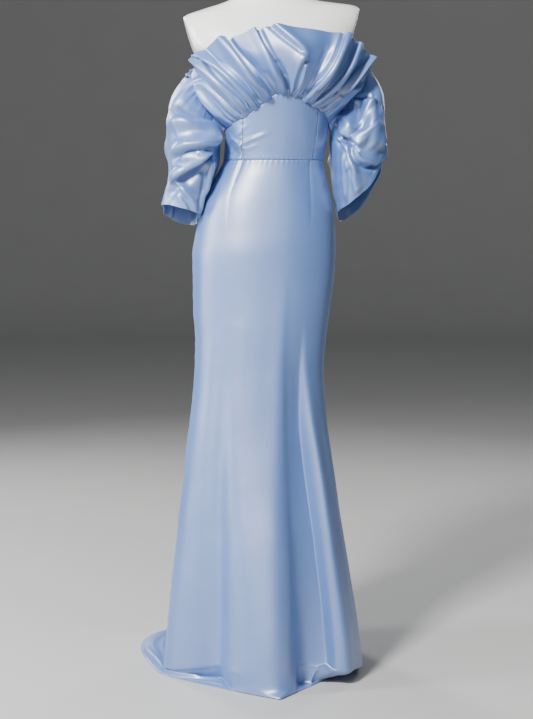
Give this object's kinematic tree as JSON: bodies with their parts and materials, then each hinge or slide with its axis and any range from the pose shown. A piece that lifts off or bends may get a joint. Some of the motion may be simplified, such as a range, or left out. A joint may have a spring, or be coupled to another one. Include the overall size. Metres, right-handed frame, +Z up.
{
  "type": "mermaid evening dress on a limbless dress form",
  "caption": "Satin mermaid evening dress with a peaked bodice, gathered fan ruffle, puff sleeves and a short train, on a limbless dress form with a pole stand.",
  "frame": {"origin": "middle of the stand's foot, on the floor", "axes": "+Z up, -Y out of the dress's front, +X towards the right of the front view"},
  "size_m": [0.54, 0.6671, 1.562],
  "materials": {
    "satin": "pale blue satin",
    "form": "gloss white",
    "steel": "brushed",
    "zip": "enamelled to match the satin"
  },
  "bodies": {
    "dress": {"skirt_front": "satin", "skirt_back_right": "satin", "skirt_back_left": "satin", "bodice_front": "satin", "bodice_side_front_right": "satin", "bodice_side_back_right": "satin", "bodice_back_right": "satin", "bodice_side_front_left": "satin", "bodice_side_back_left": "satin", "bodice_back_left": "satin", "ruffle_front": "satin", "ruffle_back_right": "satin", "ruffle_back_left": "satin", "sleeve_right": "satin", "sleeve_left": "satin", "form_torso": "form", "stand_pole": "steel", "stand_foot": "steel", "zip_slider": "zip"},
    "pull_tab": {"zip_pull": "zip"}
  },
  "joints": [
    {"name": "pull_tab_hinge", "type": "hinge", "parent": "dress", "child": "pull_tab", "pos_m": [0.00404, 0.08971, 1.172], "axis": [1, 0, 0], "range_deg": [0, 120]}
  ]
}
